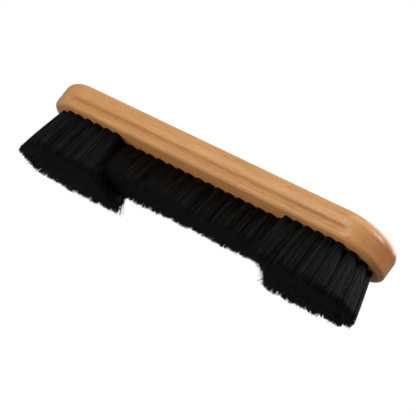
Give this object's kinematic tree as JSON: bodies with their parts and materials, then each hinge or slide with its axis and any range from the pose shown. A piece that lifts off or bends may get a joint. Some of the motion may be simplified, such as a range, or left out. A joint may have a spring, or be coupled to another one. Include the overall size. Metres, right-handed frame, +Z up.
{
  "type": "hand brush",
  "caption": "Wooden hand brush: grooved, round-ended drilled block with wire-anchored black bristle tufts, short along the middle and long and splayed at both ends.",
  "frame": {"origin": "centre of the wooden block in X and Y, on the surface that the long bristle tips stand on", "axes": "+X along the block, +Y across it, +Z up from the bristle tips to the block's flat back"},
  "size_m": [0.2361, 0.046, 0.0458],
  "materials": {
    "wood": "satin",
    "bristle": "satin",
    "anchor_wire": "satin"
  },
  "bodies": {
    "root": {"wood_block": "wood", "bristles_mid_front": "bristle", "bristles_mid_centre": "bristle", "bristles_mid_back": "bristle", "bristles_left_outer_front": "bristle", "bristles_left_inner_front": "bristle", "bristles_left_centre": "bristle", "bristles_left_inner_back": "bristle", "bristles_left_outer_back": "bristle", "bristles_left_arc_outer": "bristle", "bristles_left_arc_inner": "bristle", "bristles_right_outer_front": "bristle", "bristles_right_inner_front": "bristle", "bristles_right_centre": "bristle", "bristles_right_inner_back": "bristle", "bristles_right_outer_back": "bristle", "bristles_right_arc_outer": "bristle", "bristles_right_arc_inner": "bristle", "anchors_mid_front": "anchor_wire", "anchors_mid_centre": "anchor_wire", "anchors_mid_back": "anchor_wire", "anchors_left_outer_front": "anchor_wire", "anchors_left_inner_front": "anchor_wire", "anchors_left_centre": "anchor_wire", "anchors_left_inner_back": "anchor_wire", "anchors_left_outer_back": "anchor_wire", "anchors_left_arc_outer": "anchor_wire", "anchors_left_arc_inner": "anchor_wire", "anchors_right_outer_front": "anchor_wire", "anchors_right_inner_front": "anchor_wire", "anchors_right_centre": "anchor_wire", "anchors_right_inner_back": "anchor_wire", "anchors_right_outer_back": "anchor_wire", "anchors_right_arc_outer": "anchor_wire", "anchors_right_arc_inner": "anchor_wire"}
  },
  "joints": []
}
